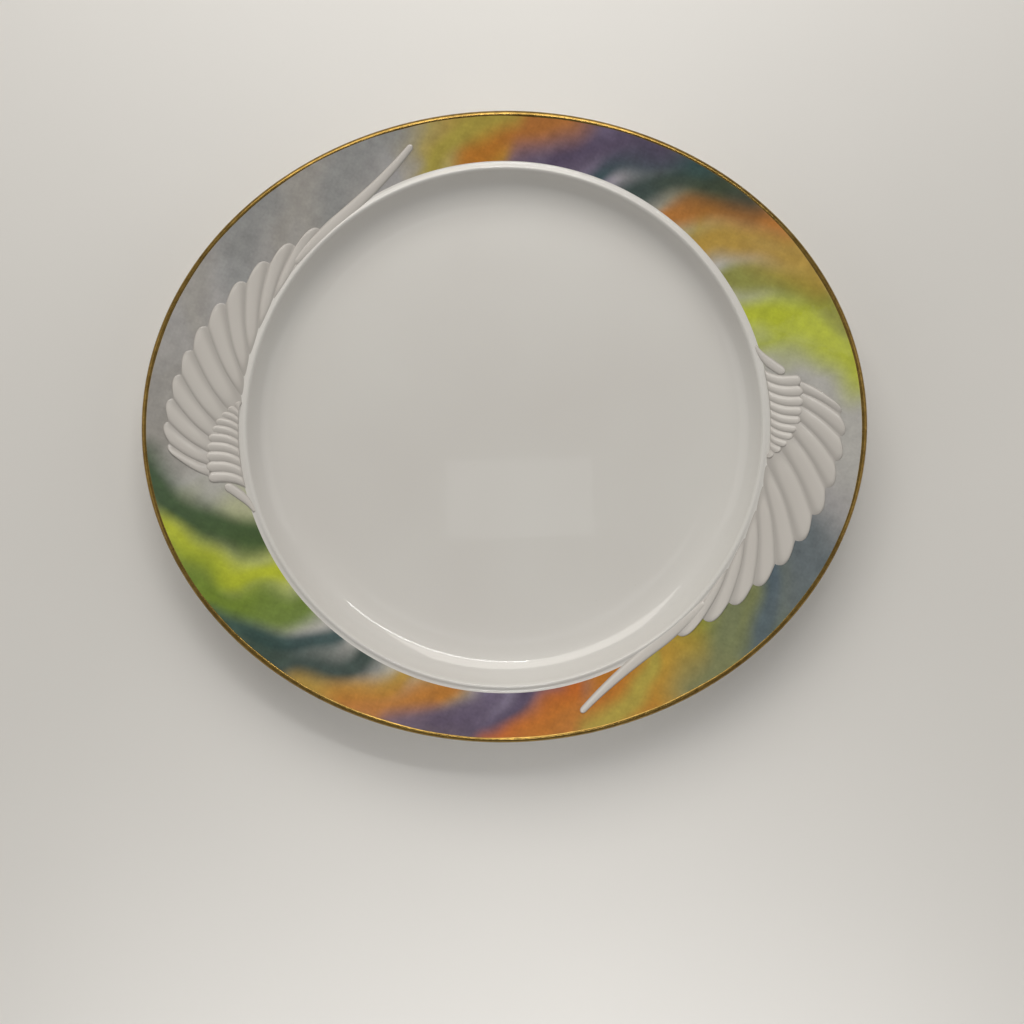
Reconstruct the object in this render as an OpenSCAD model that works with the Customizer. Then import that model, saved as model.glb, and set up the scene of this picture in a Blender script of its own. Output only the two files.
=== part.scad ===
// Oval china dinner plate with a round well. A pair of winged reliefs spreads over the rim.
// The plate lies face up on its foot ring: +Z up, X along the oval, origin under its centre.

/* [Outline] */
// Length of the oval rim, along X
plate_length = 286; // [276:1:300]
// Width of the oval rim, along Y
plate_width = 249; // [244:1:262]
// Radius of the round shoulder where the well meets the rim
shoulder_r = 103; // [100:0.5:105]
// Radius of the flat floor of the well
floor_r = 86; // [83:1:88]

/* [Heights] */
// Height of the whole plate, from the foot's face to the top of the rim
plate_height = 25; // [23:0.5:29]
// Height of the shoulder
shoulder_z = 19.3; // [17.5:0.1:20]
// Height of the well's floor
floor_z = 8; // [7.4:0.1:8.6]
// Height of the underside above the table, inside the foot ring
base_z = 3.4; // [3:0.1:3.8]

/* [Edges and foot] */
// Radius of the rounded edge of the rim, half the rim's thickness there
edge_round = 1.5; // [1.2:0.1:1.7]
// Radius of the half-round bead that runs round the shoulder
bead_r = 1.1; // [0.8:0.1:1.4]
// Radius of the middle of the foot ring
foot_r = 78.5; // [72:0.5:80]
// Width of the foot ring's flat face
foot_face = 2.4; // [2:0.2:3.2]

/* [Relief wings] */
// Height of the feathers above the rim
relief_h = 0.9; // [0.6:0.1:1.2]
// Number of long feathers in each wing
feathers = 11; // [8:1:12]
// Number of short covert feathers at the root of each wing
coverts = 10; // [8:1:11]
// How far the right wing's last feathers are turned on from the left wing's, in degrees
right_turn = 3.2; // [0:0.1:4]

/* [Decoration] */
// Thickness of the gold line
gold_t = 0.12; // [0.1:0.01:0.2]
// Thickness of the fired colour transfers
print_t = 0.1; // [0.08:0.01:0.15]

/* [Hidden] */

porcelain = "WhiteSmoke";
relief_white = "Snow";
gold = "Gold";
bisque = "Linen";

round_fn = 144;
bead_steps = 10;
rim_steps = 96;
rim_in = shoulder_r + bead_r;
body_top = plate_height - gold_t;

// The rim's top face falls a little towards its middle, as pressed ware does.
rim_straight = 0.85;
rim_levels = [0, 0.12, 0.3, 0.55, 0.8, 1];
edge_angles = [90, 60, 30, 0, -30, -60, -90];
gold_angles = [90, 60, 30, 0, -30, -60];

// Haunch: where the underside turns from the well's wall into the rim.
joint_z = shoulder_z - 9.7;
joint_slope = 50;
haunch_r = shoulder_r + 6.5;
haunch_z = shoulder_z - 2.8;
foot_flare = 1.4;
foot_apron = 5.5;

// Fans. Angles run anticlockwise from +X; depth is 0 at the bead and 1 at the rim's edge.
feather_root_a = 188.5;
feather_tip_a = 181.7;
covert_tip_a = 173.9;
turn_start = 0.25;
turn_span = 27;
groove_h = 0.35;
feather_lines = [[0, groove_h], [0.3, 1], [0.65, 0.85]];
covert_lines = [[0, groove_h], [0.5, 1]];
feather_rows = [0, 0.2, 0.45, 0.7, 0.9, 1];
covert_rows = [0, 0.35, 0.75, 1];
covert_h = 1.2 * relief_h;

// Blades: angle and depth of the four handles of each one's spine, its half width, and how
// fast it widens from its root.
plume_handles = [[141, 0.045], [133.5, 0.07], [119, 0.06], [107, 0.64]];
plume_half_w = 2.9;
plume_bloom = 1.6;
alula_handles = [[196, 0.04], [193.5, 0.05], [191.5, 0.12], [190.6, 0.24]];
alula_half_w = 1.7;
alula_bloom = 3;
blade_steps = 10;
blade_lines = [[-1, groove_h], [-0.4, 0.9], [0.4, 0.9], [1, groove_h]];

// The two transfers: first and last angle, in degrees, and how far their ends slant.
upper_print = [8, 182];
lower_print = [-178, -2.5];
print_slant = -3.5;
print_steps = 60;
print_levels = [0, 0.35, 0.7, 1];
print_end = 0.97;
print_gap = 0.09;
// Outline of a wing's lower side, from its first feather back to the bead.
wing_heel = [[184.5, 0.79], [188.5, 0.5], [191, 0.36], [197, 0.1], [199, 0]];

// ---- curves ----

function bez(p, t) =
  pow(1 - t, 3) * p[0] + 3 * t * pow(1 - t, 2) * p[1]
  + 3 * t * t * (1 - t) * p[2] + pow(t, 3) * p[3];

function curve(p, n) = [for (i = [0:n]) bez(p, i / n)];

function dir(a) = [cos(a), sin(a)];

function heading(v) = atan2(v[1], v[0]);

// A curve from a to b that leaves and arrives at these angles from its chord.
function arc_between(a, b, leave, arrive, reach) =
  let (len = norm(b - a), base = heading(b - a))
  [
    a,
    a + reach * len * dir(base + leave),
    b - reach * len * dir(base + arrive),
    b
  ];

// ---- the rim's surface ----

function edge_r(a) =
  1 / sqrt(pow(2 * cos(a) / plate_length, 2) + pow(2 * sin(a) / plate_width, 2));

function rim_out(a) = edge_r(a) - gold_t - edge_round;

function rim_r(a, depth) = rim_in + depth * (rim_out(a) - rim_in);

function rim_z(depth) =
  shoulder_z + (body_top - shoulder_z) * (rim_straight * depth + (1 - rim_straight) * depth * depth);

function on_plan(a, depth) = rim_r(a, depth) * dir(a);

function depth_of(p) =
  let (a = heading(p))
  (norm(p) - rim_in) / (rim_out(a) - rim_in);

// A point of the plan, lifted above the rim's top face.
function on_rim(p, lift) = [p[0], p[1], rim_z(depth_of(p)) + lift];

function edge_point(a, swing, r) =
  let (q = [rim_out(a) + r * cos(swing), body_top - edge_round + r * sin(swing)])
  [q[0] * cos(a), q[0] * sin(a), q[1]];

// ---- solids from grids of points ----

// Each quad as two triangles, with its outside clockwise.
function quad(a, b, c, d) = [[a, b, c], [a, c, d]];

// A ring: each section is a closed loop of m points, and the sections close on each other.
module ring(sections) {
  n = len(sections);
  m = len(sections[0]);
  points = [for (s = sections) for (p = s) p];
  faces = [
    for (i = [0:n - 1]) for (j = [0:m - 1])
      let (i2 = (i + 1) % n, j2 = (j + 1) % m)
      for (f = quad(i * m + j, i2 * m + j, i2 * m + j2, i * m + j2)) f
  ];
  polyhedron(points, faces);
}

// A pad: a grid of top points over a grid of bottom points, closed all round.
module pad(top, bottom) {
  n = len(top);
  m = len(top[0]);
  low = n * m;
  points = concat([for (r = top) for (p = r) p], [for (r = bottom) for (p = r) p]);
  faces = [
    for (i = [0:n - 2]) for (j = [0:m - 2])
      let (a = i * m + j, b = a + 1, c = a + m + 1, d = a + m)
      for (f = concat(quad(a, b, c, d), quad(low + a, low + d, low + c, low + b))) f,
    for (i = [0:n - 2]) for (j = [0, m - 1])
      let (a = i * m + j, d = a + m)
      for (f = j == 0 ? quad(a, d, low + d, low + a) : quad(d, a, low + a, low + d)) f,
    for (j = [0:m - 2]) for (i = [0, n - 1])
      let (a = i * m + j, b = a + 1)
      for (f = i == 0 ? quad(b, a, low + a, low + b) : quad(a, b, low + b, low + a)) f
  ];
  polyhedron(points, faces);
}

// ---- the body ----

module well() {
  wall = [
    [floor_r, floor_z], [floor_r + 9, floor_z],
    [shoulder_r - 4, floor_z + 5], [shoulder_r - bead_r, shoulder_z]
  ];
  under = [
    [foot_r + foot_apron, base_z], [foot_r + foot_apron + 11, base_z],
    [shoulder_r, joint_z] - 5 * dir(joint_slope), [shoulder_r, joint_z]
  ];
  color(porcelain)
    rotate_extrude($fn = round_fn)
      polygon(concat(
        [[0, base_z]], curve(under, 8), [[shoulder_r, shoulder_z]],
        [for (i = [10:-1:0]) bez(wall, i / 10)], [[0, floor_z]]
      ));
}

module foot_ring() {
  half = foot_face / 2;
  side = [
    [half, 0.5], [half + 0.3, 1.4],
    [half + foot_flare - 0.7, base_z - 0.4], [half + foot_flare, base_z]
  ];
  outer = concat([[half - 0.4, 0]], curve(side, 5));
  inner = [for (i = [len(outer) - 1:-1:0]) [-outer[i][0], outer[i][1]]];
  color(bisque)
    rotate_extrude($fn = round_fn)
      translate([foot_r, 0]) polygon(concat(outer, inner));
}

module shoulder_bead() {
  color(porcelain)
    rotate_extrude($fn = round_fn)
      translate([shoulder_r, shoulder_z])
        polygon([for (i = [0:bead_steps]) bead_r * dir(180 * i / bead_steps)]);
}

// The rim in section: the top face, the rounded edge and the haunch back to the shoulder.
function rim_section(a) =
  let (
    tip_under = [rim_out(a), body_top - 2 * edge_round],
    lean = heading(tip_under - [haunch_r, haunch_z]),
    haunch = [
      [haunch_r, haunch_z], [haunch_r, haunch_z] - 3 * dir(lean),
      [shoulder_r, joint_z] + 3 * dir(joint_slope), [shoulder_r, joint_z]
    ],
    plan = concat(
      [[shoulder_r, shoulder_z]],
      [for (d = rim_levels) if (d < 1) [rim_r(a, d), rim_z(d)]]
    )
  )
  concat(
    [for (q = plan) [q[0] * cos(a), q[0] * sin(a), q[1]]],
    [for (s = edge_angles) edge_point(a, s, edge_round)],
    [for (q = curve(haunch, 4)) [q[0] * cos(a), q[0] * sin(a), q[1]]]
  );

module rim() {
  color(porcelain)
    ring([for (i = [0:rim_steps - 1]) rim_section(i * 360 / rim_steps)]);
}

// ---- the relief ----

// Angle of a feature of the wing, on the left (side 0) or as seen from the other end (side 1).
function fanned(a, side) =
  let (
    u = max(0, min(1, (180 - a) / turn_span)),
    ease = u * u * (3 - 2 * u)
  )
  a - side * right_turn * (turn_start + (1 - turn_start) * ease);

function root_of(i, side) =
  let (s = i * 11 / feathers)
  on_plan(
    fanned(feather_root_a - 2.3 * s - 19.2 * pow(s / 11, 4), side),
    max(0.02, 0.38 - 0.0092 * s * s)
  );

// Notch after feather i - 1, just inside that feather's tip; notch 0 starts the first one.
function notch_of(i, side) =
  let (s = (i - 1) * 11 / feathers)
  i == 0
    ? on_plan(fanned(184.2, side), 0.7)
    : on_plan(
        fanned(feather_tip_a - 3.6 * s - 0.14 * s * s, side),
        0.785 - 0.0175 * s - 0.0054 * s * s - (i == 1 ? 0.03 : 0)
      );

function feather_grooves(side) =
  [for (i = [0:feathers]) arc_between(root_of(i, side), notch_of(i, side), 11, -9, 0.4)];

function feather_tips(side) =
  [for (i = [0:feathers - 1]) arc_between(notch_of(i, side), notch_of(i + 1, side), 25, -75, 0.45)];

function covert_a(j) = covert_tip_a + 1.1 * j + 0.06 * j * j;

function covert_inner(j, side) =
  on_plan(fanned(covert_a(j) + 0.9 + 0.15 * j, side), 0.015);

function covert_notch(j, side) =
  on_plan(fanned(covert_a(j), side), 0.365 - 0.005 * pow(j - 8, 2));

function covert_grooves(side) =
  [for (i = [0:coverts])
    let (j = i * 10 / coverts - 0.5)
    arc_between(covert_inner(j, side), covert_notch(j, side), -18, 14, 0.4)
  ];

function covert_tips(side) =
  let (g = covert_grooves(side))
  [for (j = [0:coverts - 1]) arc_between(g[j][3], g[j + 1][3], -60, 65, 0.5)];

// A point of a fan: between two grooves, swelling out to the rounded tip as v nears 1.
function fan_point(g0, g1, tip, u, v) =
  let (
    flat = (1 - u) * bez(g0, v) + u * bez(g1, v),
    swell = bez(tip, u) - ((1 - u) * g0[3] + u * g1[3])
  )
  flat + pow(v, 4) * swell;

// One closed pad of side-by-side feathers, with its base on the rim's face.
module fan(grooves, tips, lines, rows, height) {
  n = len(tips);
  columns = concat(
    [for (i = [0:n - 1]) for (l = lines) [i, l[0], l[1]]],
    [[n - 1, 1, groove_h]]
  );
  plan = [for (c = columns) [for (v = rows)
    fan_point(grooves[c[0]], grooves[c[0] + 1], tips[c[0]], c[1], v)
  ]];
  top = [for (k = [0:len(columns) - 1]) [for (r = [0:len(rows) - 1])
    on_rim(plan[k][r], height * (rows[r] == 1 ? groove_h : columns[k][2]))
  ]];
  bottom = [for (column = plan) [for (p = column) on_rim(p, 0)]];
  pad(top, bottom);
}

module wing_feathers(side) {
  color(relief_white)
    fan(feather_grooves(side), feather_tips(side), feather_lines, feather_rows, relief_h);
}

// The coverts run the other way round, so their columns are turned to keep the pad outside out.
// The alula, a short feather of its own, closes the row.
module wing_coverts(side) {
  g = covert_grooves(side);
  t = covert_tips(side);
  n = len(t);
  back = [for (j = [n - 1:-1:0]) [t[j][3], t[j][2], t[j][1], t[j][0]]];
  color(relief_white) {
    fan([for (j = [n:-1:0]) g[j]], back, covert_lines, covert_rows, covert_h);
    blade(alula_handles, alula_half_w, alula_bloom, side, 0);
  }
}

// A tapering blade along a spine on the rim, its base lifted by base.
module blade(handles, half_w, bloom, side, base) {
  spine = [for (h = handles) on_plan(fanned(h[0], side), h[1])];
  plan = [for (k = [0:blade_steps])
    let (
      s = k / blade_steps,
      ahead = bez(spine, min(1, s + 0.01)) - bez(spine, max(0, s - 0.01)),
      normal = [-ahead[1], ahead[0]] / norm(ahead),
      w = half_w * min(1, 0.35 + bloom * s) * pow(1.02 - s, 0.5)
    )
    [for (l = blade_lines) bez(spine, s) + l[0] * w * normal]
  ];
  top = [for (row = plan) [for (c = [0:len(blade_lines) - 1])
    on_rim(row[c], base + relief_h * blade_lines[c][1])
  ]];
  bottom = [for (row = plan) [for (p = row) on_rim(p, base)]];
  pad(top, bottom);
}

// A long plume that sweeps off the shoulder to a point, over the transfer.
module wing_plume(side) {
  color(relief_white) blade(plume_handles, plume_half_w, plume_bloom, side, print_t);
}

module on_side(side) {
  rotate([0, 0, 180 * side]) children();
}

module left_feathers() { on_side(0) wing_feathers(0); }
module left_coverts() { on_side(0) wing_coverts(0); }
module left_plume() { on_side(0) wing_plume(0); }
module right_feathers() { on_side(1) wing_feathers(1); }
module right_coverts() { on_side(1) wing_coverts(1); }
module right_plume() { on_side(1) wing_plume(1); }

// ---- the decoration ----

module gold_band() {
  sections = [for (i = [0:rim_steps - 1])
    let (a = i * 360 / rim_steps)
    concat(
      [for (s = gold_angles) edge_point(a, s, edge_round + gold_t)],
      [for (k = [len(gold_angles) - 1:-1:0]) edge_point(a, gold_angles[k], edge_round)]
    )
  ];
  color(gold) ring(sections);
}

// Where a wing's outline reaches to, as [angle, depth] pairs with rising angles.
function wing_outline(side) =
  concat(
    [[heading(notch_of(feathers, side)) - 3, 0]],
    [for (i = [feathers:-1:1])
      let (p = notch_of(i, side))
      [(heading(p) + 360) % 360, depth_of(p) + print_gap]
    ],
    [for (q = wing_heel) [fanned(q[0], side), q[1]]]
  );

// How deep the wings reach at an angle, so that a transfer starts outside them.
function wing_reach(a) =
  max(lookup((a + 360) % 360, wing_outline(0)), lookup((a + 180) % 360, wing_outline(1)));

// A thin film over the rim from one angle to another, outside the feathers that it passes.
module transfer(span, shade) {
  plan = [for (k = [0:print_steps])
    let (
      a = span[1] + (span[0] - span[1]) * k / print_steps,
      start = wing_reach(a)
    )
    [for (l = print_levels)
      let (depth = start + (print_end - start) * l)
      on_plan(a + print_slant * depth, depth)
    ]
  ];
  top = [for (row = plan) [for (p = row) on_rim(p, print_t)]];
  bottom = [for (row = plan) [for (p = row) on_rim(p, 0)]];
  color(shade) pad(top, bottom);
}

module upper_transfer() { transfer(upper_print, "SlateGray"); }
module lower_transfer() { transfer(lower_print, "DarkOrange"); }

well();
foot_ring();
shoulder_bead();
rim();
gold_band();
upper_transfer();
lower_transfer();
left_feathers();
left_coverts();
left_plume();
right_feathers();
right_coverts();
right_plume();
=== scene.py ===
"""An oval china dinner plate: winged relief, fired colour and a gold edge, on its CAD frame."""
import math

import bpy
import numpy as np
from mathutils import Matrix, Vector


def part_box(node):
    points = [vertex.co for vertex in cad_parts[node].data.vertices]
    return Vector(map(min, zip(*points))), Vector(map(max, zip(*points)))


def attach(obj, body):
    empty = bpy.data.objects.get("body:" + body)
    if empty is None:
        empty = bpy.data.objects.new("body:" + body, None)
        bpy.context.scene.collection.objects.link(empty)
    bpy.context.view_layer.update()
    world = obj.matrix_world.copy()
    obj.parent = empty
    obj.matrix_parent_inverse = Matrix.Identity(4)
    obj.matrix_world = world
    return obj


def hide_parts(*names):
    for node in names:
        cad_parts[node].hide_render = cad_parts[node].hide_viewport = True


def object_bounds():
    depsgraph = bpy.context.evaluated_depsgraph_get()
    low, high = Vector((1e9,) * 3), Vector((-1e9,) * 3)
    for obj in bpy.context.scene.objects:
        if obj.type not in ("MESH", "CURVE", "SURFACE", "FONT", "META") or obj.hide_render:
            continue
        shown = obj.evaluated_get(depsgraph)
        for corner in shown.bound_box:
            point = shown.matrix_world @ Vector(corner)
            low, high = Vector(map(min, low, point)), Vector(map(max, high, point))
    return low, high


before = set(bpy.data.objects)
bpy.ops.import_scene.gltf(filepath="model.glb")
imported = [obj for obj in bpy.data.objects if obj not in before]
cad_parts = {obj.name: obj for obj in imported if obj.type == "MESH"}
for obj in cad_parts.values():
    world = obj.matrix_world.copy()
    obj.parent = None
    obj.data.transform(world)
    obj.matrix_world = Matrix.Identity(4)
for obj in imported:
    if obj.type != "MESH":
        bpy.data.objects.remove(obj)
cad_low, cad_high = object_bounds()

# ---------------------------------------------------------------- sizes, in millimetres
MM = 0.001


def mm(metres):
    return round(metres / MM, 2)


LENGTH, WIDTH, HEIGHT = 2 * mm(cad_high.x), 2 * mm(cad_high.y), mm(cad_high.z)
SHOULDER_R, SHOULDER_Z = mm(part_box("well")[1].x), mm(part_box("well")[1].z)
BASE_Z = mm(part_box("well")[0].z)
BEAD_R = mm(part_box("shoulder_bead")[1].z) - SHOULDER_Z
BODY_TOP = mm(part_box("rim")[1].z)
FOOT_OUT = mm(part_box("foot_ring")[1].x)
GOLD_T = HEIGHT - BODY_TOP
EDGE_ROUND = 1.5
# The bead's height as a part of its half width, and how far its glaze runs out on the rim.
BEAD_SHOWN, BEAD_FADE = 0.8, 1.35
RIM_IN = SHOULDER_R + BEAD_R
FLOOR_R, FLOOR_Z = 86.0, 8.0
FOOT_HALF, FOOT_FLARE, FOOT_APRON = 1.2, 1.4, 5.5
FOOT_R = FOOT_OUT - FOOT_HALF - FOOT_FLARE
# Under the plate: where the wall meets the haunch, and where the haunch meets the rim.
JOINT_Z, JOINT_SLOPE = SHOULDER_Z - 9.7, 50.0
HAUNCH_R, HAUNCH_Z = SHOULDER_R + 6.5, SHOULDER_Z - 2.8
# The wings: heights, how far they reach into the rim, counts, and the right wing's extra turn.
RELIEF_H, COVERT_H, HEEL_H = 0.9, 0.95, 0.8
STRAND_H = 0.5 * RELIEF_H
SINK = 0.15
FEATHERS, COVERTS = 11, 10
RIGHT_TURN = 3.2
ROUND_STEPS, FOOT_STEPS = 384, 256


# ---------------------------------------------------------------- curves and the rim's surface
def bez(p, t):
    """A cubic Bezier curve."""
    t = np.asarray(t, float)[..., None]
    a, b, c, d = (np.asarray(q, float) for q in p)
    return (1 - t) ** 3 * a + 3 * t * (1 - t) ** 2 * b + 3 * t * t * (1 - t) * c + t ** 3 * d


def soft_curve(p, t):
    """A Bezier curve of any degree, so that a wall can leave the floor without a visible line."""
    p = np.repeat(np.asarray(p, float)[None], len(t), 0)
    while p.shape[1] > 1:
        p = p[:, :-1] + t[:, None, None] * (p[:, 1:] - p[:, :-1])
    return p[:, 0]


def unit(a):
    """The unit vector at an angle in degrees."""
    a = np.radians(a)
    return np.stack([np.cos(a), np.sin(a)], -1)


def heading(p):
    return np.degrees(np.arctan2(p[..., 1], p[..., 0]))


def arc_between(a, b, leave, arrive, reach):
    """A curve's four handles; it leaves a and reaches b at these angles to the line a to b."""
    size, base = np.hypot(*(b - a)), heading(b - a)
    return [a, a + reach * size * unit(base + leave), b - reach * size * unit(base + arrive), b]


def smooth(x, low=0.0, high=1.0):
    t = np.clip((np.asarray(x, float) - low) / (high - low), 0, 1)
    return t * t * (3 - 2 * t)


def rounded(x):
    """A quarter round: 0 at 0, level from 1 on."""
    return np.sqrt(1 - (1 - np.clip(x, 0, 1)) ** 2)


def rim_out(a):
    """Radius of the rim's outer border, just inside its rounded edge."""
    a = np.radians(a)
    edge = 1 / np.sqrt((2 * np.cos(a) / LENGTH) ** 2 + (2 * np.sin(a) / WIDTH) ** 2)
    return edge - GOLD_T - EDGE_ROUND


def rim_r(a, depth):
    """depth is 0 at the bead and 1 at the rounded edge."""
    return RIM_IN + depth * (rim_out(a) - RIM_IN)


def rim_z(depth):
    return SHOULDER_Z + (BODY_TOP - SHOULDER_Z) * (0.85 * depth + 0.15 * depth * depth)


def on_plan(a, depth):
    return rim_r(a, depth)[..., None] * unit(a)


def depth_of(p):
    r = np.hypot(p[..., 0], p[..., 1])
    return (r - RIM_IN) / (rim_out(heading(p)) - RIM_IN)


def on_rim(p, lift):
    """Points in plan, raised to that height above the rim."""
    z = rim_z(depth_of(p)) + lift
    return np.concatenate([p, z[..., None]], -1)


# ---------------------------------------------------------------- meshes from grids of points
def grid_quads(n, m, wrap_n=False, wrap_m=False):
    i = np.arange(n if wrap_n else n - 1)[:, None]
    j = np.arange(m if wrap_m else m - 1)[None, :]
    i2, j2 = (i + 1) % n, (j + 1) % m
    return np.stack([i * m + j, i2 * m + j, i2 * m + j2, i * m + j2], -1).reshape(-1, 4)


def faces_up(grid):
    """Whether quads on this grid of points face up, told by the one in its middle."""
    i, j = grid.shape[0] // 2, grid.shape[1] // 2
    return np.cross(grid[i + 1, j] - grid[i, j], grid[i, j + 1] - grid[i, j])[2] > 0


def closed_rings(r, z, angles):
    """One section at each angle; r and z are (angles, points round the section)."""
    return np.concatenate([r[..., None] * unit(angles)[:, None], z[..., None]], -1)


def new_piece(name, points, faces, material, nodes, colours=None):
    """A closed mesh in millimetres becomes a smooth piece that rides on the plate's body."""
    mesh = bpy.data.meshes.new(name)
    mesh.from_pydata((points * MM).tolist(), [], faces)
    mesh.validate()
    mesh.update()
    mesh.polygons.foreach_set("use_smooth", np.ones(len(mesh.polygons), bool))
    for layer, values in (colours or {}).items():
        attribute = mesh.color_attributes.new(layer, "FLOAT_COLOR", "POINT")
        attribute.data.foreach_set("color", values.astype(np.float32).ravel())
    mesh.materials.append(material)
    piece = bpy.data.objects.new(name, mesh)
    bpy.context.scene.collection.objects.link(piece)
    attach(piece, "root")
    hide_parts(*nodes)


def pad_mesh(top, bottom):
    """Grids of top and bottom points (n, m, 3), closed round their border."""
    n, m = top.shape[:2]
    points = np.concatenate([top.reshape(-1, 3), bottom.reshape(-1, 3)])
    low = n * m
    quads = grid_quads(n, m)
    faces = quads.tolist() + (quads[:, ::-1] + low).tolist()
    border = (
        [i * m for i in range(n)]
        + [(n - 1) * m + j for j in range(1, m)]
        + [i * m + m - 1 for i in range(n - 2, -1, -1)]
        + [j for j in range(m - 2, 0, -1)]
    )
    for k, a in enumerate(border):
        b = border[(k + 1) % len(border)]
        faces.append([b, a, a + low, b + low])
    return points, (faces if faces_up(top) else [f[::-1] for f in faces])


# ---------------------------------------------------------------- materials
def linear(colour):
    """A colour as it looks, 0 to 255, as the shader's linear values."""
    c = np.asarray(colour, float) / 255
    return np.where(c <= 0.04045, c / 12.92, ((c + 0.055) / 1.055) ** 2.4)


def rgba(colour):
    return (*linear(colour), 1.0)


# The colour inputs and the colour output of Blender's Mix node.
MIX_INPUTS, MIX_RESULT = (0, 6, 7), 2


class Shader:
    """A node material on object coordinates, with short calls for the nodes it needs."""

    def __init__(self, name, **sockets):
        self.material = bpy.data.materials.new(name)
        self.material.use_nodes = True
        self.nodes = self.material.node_tree.nodes
        self.links = self.material.node_tree.links
        self.bsdf = self.nodes["Principled BSDF"]
        for socket, value in sockets.items():
            self.bsdf.inputs[socket.replace("_", " ")].default_value = value
        self.place = self.nodes.new("ShaderNodeTexCoord").outputs["Object"]

    def link(self, output, node, socket):
        self.links.new(output, node.inputs[socket])

    def noise(self, size_mm, detail, rough, warp=0.0):
        node = self.nodes.new("ShaderNodeTexNoise")
        node.inputs["Scale"].default_value = 1 / (size_mm * MM)
        node.inputs["Detail"].default_value = detail
        node.inputs["Roughness"].default_value = rough
        node.inputs["Distortion"].default_value = warp
        self.link(self.place, node, "Vector")
        return node.outputs["Fac"]

    def cells(self, size_mm):
        node = self.nodes.new("ShaderNodeTexVoronoi")
        node.inputs["Scale"].default_value = 1 / (size_mm * MM)
        self.link(self.place, node, "Vector")
        return node.outputs["Distance"]

    def ramp(self, factor, *stops):
        """stops are (position, colour or grey value)."""
        node = self.nodes.new("ShaderNodeValToRGB")
        band = node.color_ramp
        while len(band.elements) < len(stops):
            band.elements.new(0.5)
        for element, (position, value) in zip(band.elements, stops):
            element.position = position
            element.color = rgba(value) if np.ndim(value) else (value, value, value, 1)
        self.link(factor, node, "Fac")
        return node.outputs["Color"]

    def feed(self, node, socket, value):
        """value is another node's output, or a fixed number or colour."""
        if isinstance(value, bpy.types.NodeSocket):
            self.links.new(value, node.inputs[socket])
        else:
            node.inputs[socket].default_value = value

    def mixed(self, factor, a, b, how="MIX"):
        node = self.nodes.new("ShaderNodeMix")
        node.data_type, node.blend_type = "RGBA", how
        for socket, value in zip(MIX_INPUTS, (factor, a, b)):
            self.feed(node, socket, value)
        return node.outputs[MIX_RESULT]

    def attribute(self, name):
        node = self.nodes.new("ShaderNodeAttribute")
        node.attribute_name = name
        return node

    def maths(self, how, *values):
        node = self.nodes.new("ShaderNodeMath")
        node.operation = how
        for k, value in enumerate(values):
            self.feed(node, k, value)
        return node.outputs["Value"]

    def bump(self, *layers):
        """layers are (height output, distance in mm)."""
        before = None
        for height, distance in layers:
            node = self.nodes.new("ShaderNodeBump")
            node.inputs["Distance"].default_value = distance * MM
            node.inputs["Strength"].default_value = 1.0
            self.link(height, node, "Height")
            if before is not None:
                self.link(before, node, "Normal")
            before = node.outputs["Normal"]
        self.link(before, self.bsdf, "Normal")
        self.link(before, self.bsdf, "Coat Normal")

    def colour(self, output):
        self.link(output, self.bsdf, "Base Color")

    def roughness(self, output):
        self.link(output, self.bsdf, "Roughness")


GLAZE = dict(Coat_Weight=1.0, Coat_Roughness=0.015, Coat_IOR=1.5, IOR=1.5, Specular_IOR_Level=0.3)
WHITE_DARK, WHITE_LIGHT, SPECK = (228, 225, 221), (232, 230, 226), (196, 186, 170)
# Painted shade on the relief: the crests are darkened a little in colour and the grooves more.
CREST_SHADE, GROOVE_SHADE = (239, 236, 234), (213, 210, 208)
GOLD_DARK, GOLD_LIGHT, GOLD_WORN = (132, 106, 54), (178, 146, 80), (96, 72, 34)
CLAY_DARK, CLAY_LIGHT, CLAY_STAIN = (196, 184, 164), (224, 215, 200), (150, 134, 112)
# The foot is bare below a wavy line, in metres: its lowest height and its waviness.
BARE_LINE, BARE_WAVE = 0.00035, 0.0005
FLANK_ROUGH, CLAY_ROUGH = 0.12, 0.85


def glaze_bump(shader):
    """The slow waves and the faint peel of a fired glaze."""
    shader.bump(
        (shader.noise(34, 1, 0.4), 0.05),
        (shader.noise(4.5, 2, 0.5), 0.004),
    )


def porcelain_white(shader):
    cloud = shader.ramp(shader.noise(60, 2, 0.4), (0.3, WHITE_DARK), (0.7, WHITE_LIGHT))
    speck = shader.ramp(shader.cells(9), (0.0, 1.0), (0.022, 0.0))
    return shader.mixed(speck, cloud, rgba(SPECK))


def make_glazed():
    s = Shader("glazed_porcelain", **GLAZE)
    s.colour(porcelain_white(s))
    s.roughness(s.ramp(s.noise(12, 4, 0.6), (0.3, 0.3), (0.7, 0.42)))
    glaze_bump(s)
    return s.material


def make_relief():
    s = Shader("relief_porcelain", **{**GLAZE, "Coat_Weight": 0.7, "Coat_Roughness": 0.22})
    # Painted shade: the colour goes from the crest tone to the darker groove tone in the relief's
    # low places.
    groove_shading = s.attribute("groove_shading").outputs["Fac"]
    tint = s.ramp(groove_shading, (0.0, CREST_SHADE), (1.0, GROOVE_SHADE))
    s.colour(s.mixed(1.0, porcelain_white(s), tint, "MULTIPLY"))
    s.roughness(s.ramp(s.noise(6, 4, 0.6), (0.3, 0.42), (0.7, 0.54)))
    glaze_bump(s)
    return s.material


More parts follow.
